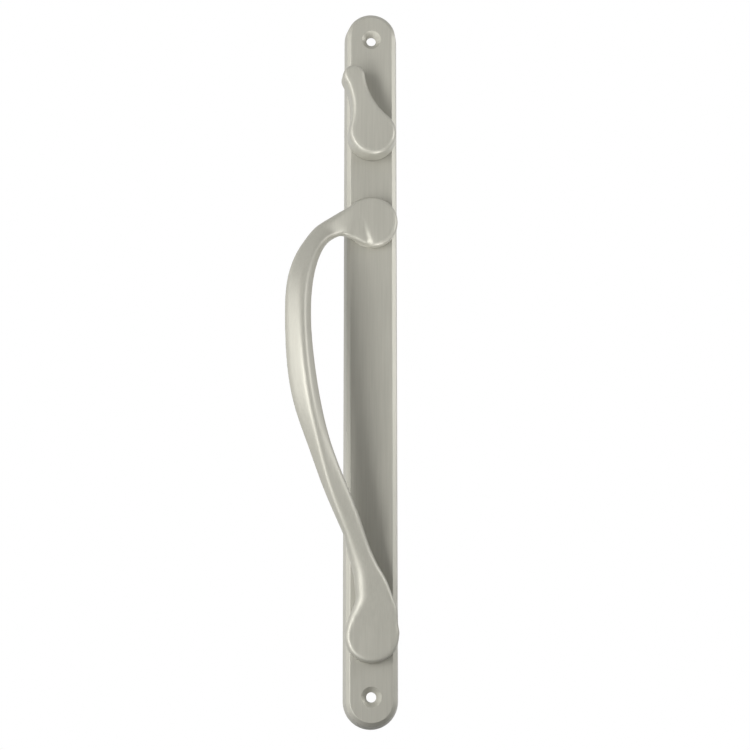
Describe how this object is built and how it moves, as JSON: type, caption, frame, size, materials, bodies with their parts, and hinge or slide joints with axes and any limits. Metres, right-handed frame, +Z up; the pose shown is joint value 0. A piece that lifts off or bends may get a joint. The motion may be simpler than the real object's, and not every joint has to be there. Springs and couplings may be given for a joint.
{
  "type": "sliding door handle",
  "caption": "Interior handle set for a sliding patio door: long round-ended escutcheon plate with a teardrop thumb-turn for the lock and an offset, twisted bow pull on round pads.",
  "frame": {"origin": "on the door face, midway between the two mounting screw holes", "axes": "+Z up along the plate, -Y out of the door towards the user, +X to the right as the user sees it"},
  "size_m": [0.0607, 0.0953, 0.388],
  "materials": {
    "satin_nickel_casting": "satin nickel plate",
    "zinc_plated_steel": "zinc plated",
    "spring_steel": "dark phosphate",
    "nylon": "moulded"
  },
  "bodies": {
    "handle_set": {"escutcheon_plate": "satin_nickel_casting", "pull_handle": "satin_nickel_casting", "upper_pull_screw": "zinc_plated_steel", "lower_pull_screw": "zinc_plated_steel", "upper_lock_washer": "spring_steel", "lower_lock_washer": "spring_steel", "upper_flat_washer": "zinc_plated_steel", "lower_flat_washer": "zinc_plated_steel", "thumb_turn_bush": "nylon", "spring_washer": "spring_steel"},
    "thumb_turn_set": {"thumb_turn": "satin_nickel_casting", "thrust_washer": "zinc_plated_steel", "retaining_clip": "spring_steel", "tailpiece": "zinc_plated_steel", "tailpiece_pin": "spring_steel"}
  },
  "joints": [
    {"name": "thumb_turn_hinge", "type": "hinge", "parent": "handle_set", "child": "thumb_turn_set", "pos_m": [0, 0, 0.1213], "axis": [0, -1, 0], "range_deg": [-62.3, 27.7]}
  ]
}
